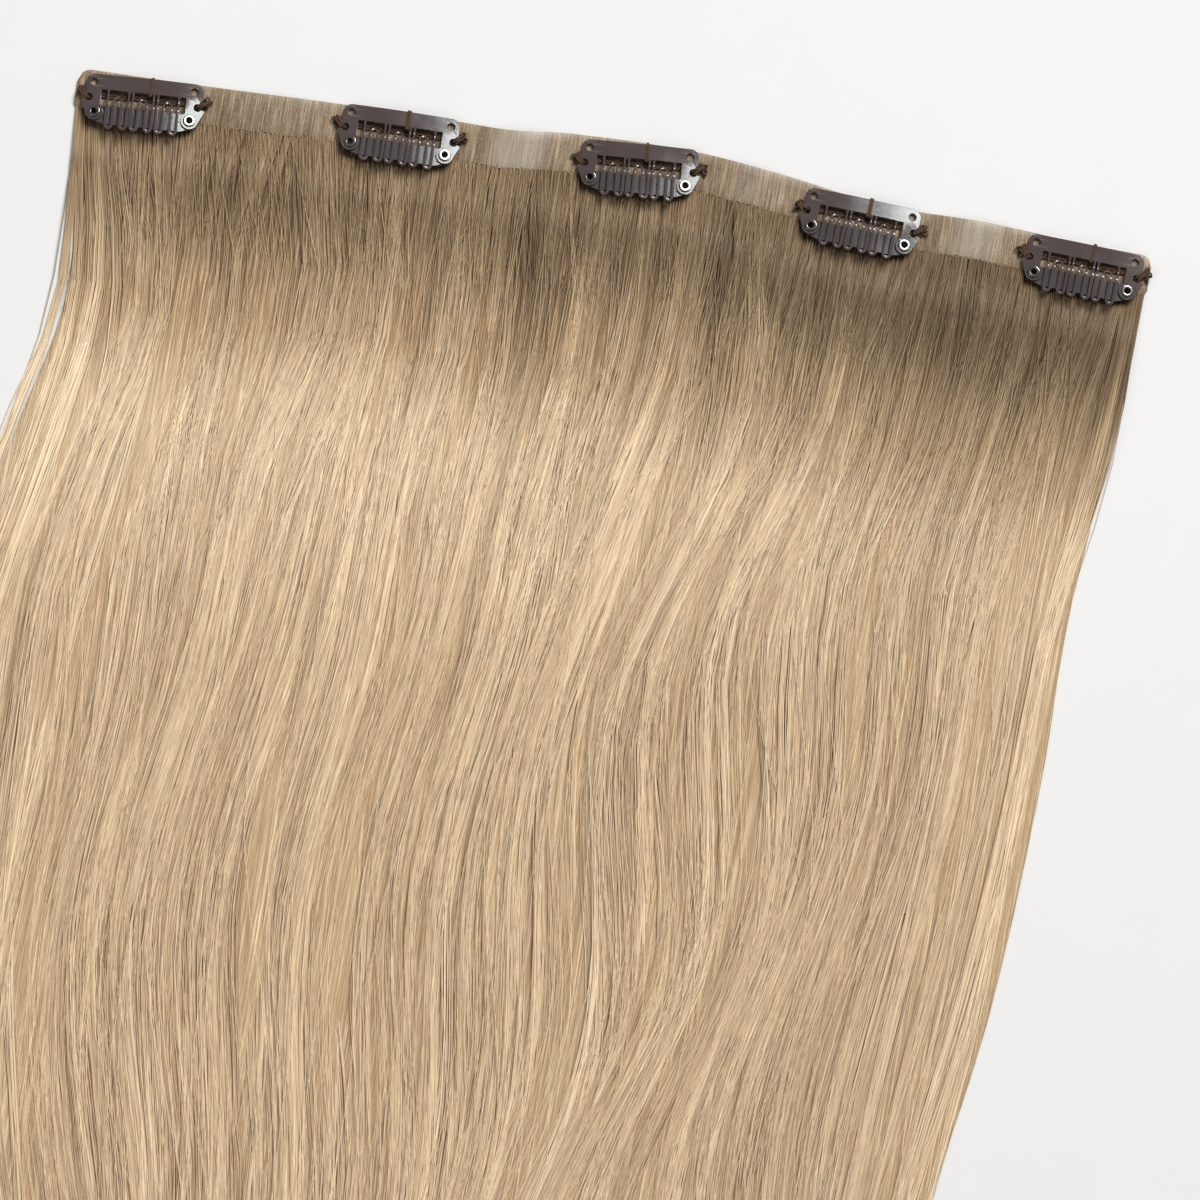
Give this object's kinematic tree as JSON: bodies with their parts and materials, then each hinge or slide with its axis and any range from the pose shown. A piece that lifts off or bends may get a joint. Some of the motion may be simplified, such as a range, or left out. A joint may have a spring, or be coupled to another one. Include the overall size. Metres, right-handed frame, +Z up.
{
  "type": "clip-in hair extension weft",
  "caption": "Wide weft of long soft hair hanging from a thin flexible band, with snap comb clips sewn along the band's front.",
  "frame": {"origin": "middle of the band's underside, half way along it and half way up it, on the surface that the weft lies on", "axes": "+X along the band to the right as seen from the clip side, +Y from the hair towards the band's top edge, +Z up from the surface towards the clips"},
  "size_m": [0.2974, 0.4225, 0.005],
  "materials": {
    "hair": "straight hair with a soft sheen, ash brown at the root, beige blonde below",
    "band": "hair strands held in a thin clear skin, satin",
    "clip_steel": "taupe brown enamel over steel, semi-gloss",
    "eyelet": "taupe enamel, rubbed bright on the rim",
    "thread": "dark brown sewing thread"
  },
  "bodies": {
    "root": {"band": "band", "hair": "hair", "clip_1_comb": "clip_steel", "clip_1_bar": "clip_steel", "clip_1_rivet_left": "eyelet", "clip_1_rivet_right": "eyelet", "clip_1_stitch_left": "thread", "clip_1_stitch_middle": "thread", "clip_1_stitch_right": "thread", "clip_2_comb": "clip_steel", "clip_2_bar": "clip_steel", "clip_2_rivet_left": "eyelet", "clip_2_rivet_right": "eyelet", "clip_2_stitch_left": "thread", "clip_2_stitch_middle": "thread", "clip_2_stitch_right": "thread", "clip_3_comb": "clip_steel", "clip_3_bar": "clip_steel", "clip_3_rivet_left": "eyelet", "clip_3_rivet_right": "eyelet", "clip_3_stitch_left": "thread", "clip_3_stitch_middle": "thread", "clip_3_stitch_right": "thread", "clip_4_comb": "clip_steel", "clip_4_bar": "clip_steel", "clip_4_rivet_left": "eyelet", "clip_4_rivet_right": "eyelet", "clip_4_stitch_left": "thread", "clip_4_stitch_middle": "thread", "clip_4_stitch_right": "thread", "clip_5_comb": "clip_steel", "clip_5_bar": "clip_steel", "clip_5_rivet_left": "eyelet", "clip_5_rivet_right": "eyelet", "clip_5_stitch_left": "thread", "clip_5_stitch_middle": "thread", "clip_5_stitch_right": "thread"}
  },
  "joints": []
}
